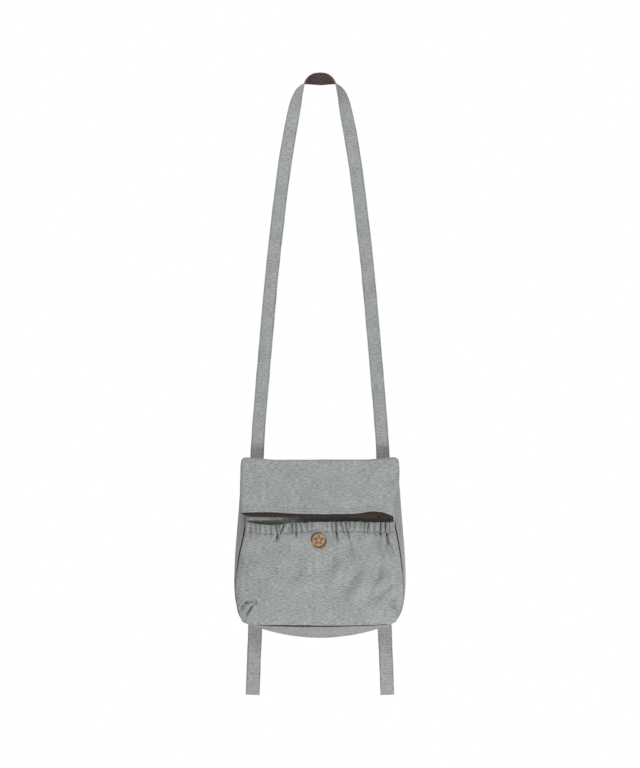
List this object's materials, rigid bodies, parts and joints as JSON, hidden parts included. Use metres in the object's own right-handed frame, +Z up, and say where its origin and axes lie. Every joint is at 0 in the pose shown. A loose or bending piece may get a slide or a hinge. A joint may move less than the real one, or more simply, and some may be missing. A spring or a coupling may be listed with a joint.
{
  "type": "toy doll carrier",
  "caption": "Soft hanging carrier pouch for a doll, with a folded-down top, a gathered front pocket with a button, a long neck strap and two waist tails.",
  "frame": {"origin": "where the carrier hangs: the lower edge of the neck strap at the middle of its top", "axes": "+Z up, +X to the right of someone looking at the front, front towards -Y"},
  "size_m": [0.2604, 0.0516, 0.9337],
  "materials": {
    "jersey": "matte mottled grey knit",
    "print": "matte brown cotton with small dark dots",
    "elastic": "woven white elastic",
    "button_wood": "pale satin wood",
    "thread": "grey sewing thread",
    "hook_tape": "grey hook and loop tape"
  },
  "bodies": {
    "strap": {"strap_face": "jersey", "strap_lining": "print"},
    "bag": {"back_panel": "jersey", "front_panel": "jersey", "side_gusset": "jersey", "back_lining": "print", "front_lining": "print", "gusset_lining": "print", "front_pocket": "jersey", "pocket_elastic": "elastic", "star_button": "button_wood", "button_thread": "thread", "fold_roll": "jersey", "fold_roll_lining": "print", "strap_sewn_face": "jersey", "strap_sewn_lining": "print", "tail_sewn_face": "jersey", "tail_sewn_lining": "print"},
    "cuff": {"cuff_shell": "jersey", "cuff_lining": "print"},
    "left_tail": {"left_tail_face": "jersey", "left_tail_lining": "print", "left_hook_patch": "hook_tape"},
    "right_tail": {"right_tail_face": "jersey", "right_tail_lining": "print", "right_loop_patch": "hook_tape"}
  },
  "joints": [
    {"name": "bag_swing", "type": "hinge", "parent": "strap", "child": "bag", "pos_m": [0, 0, -0.5564], "axis": [1, 0, 0], "range_deg": [-35, 80]},
    {"name": "cuff_fold", "type": "hinge", "parent": "bag", "child": "cuff", "pos_m": [0, -0.0128, -0.5696], "axis": [-1, 0, 0], "range_deg": [0, 140], "deforming": ["fold_roll", "fold_roll_lining"]},
    {"name": "left_tail_swing", "type": "hinge", "parent": "bag", "child": "left_tail", "pos_m": [-0.0975, 0, -0.822], "axis": [1, 0, 0], "range_deg": [-80, 95]},
    {"name": "right_tail_swing", "type": "hinge", "parent": "bag", "child": "right_tail", "pos_m": [0.0975, 0, -0.822], "axis": [1, 0, 0], "range_deg": [-80, 95]}
  ]
}
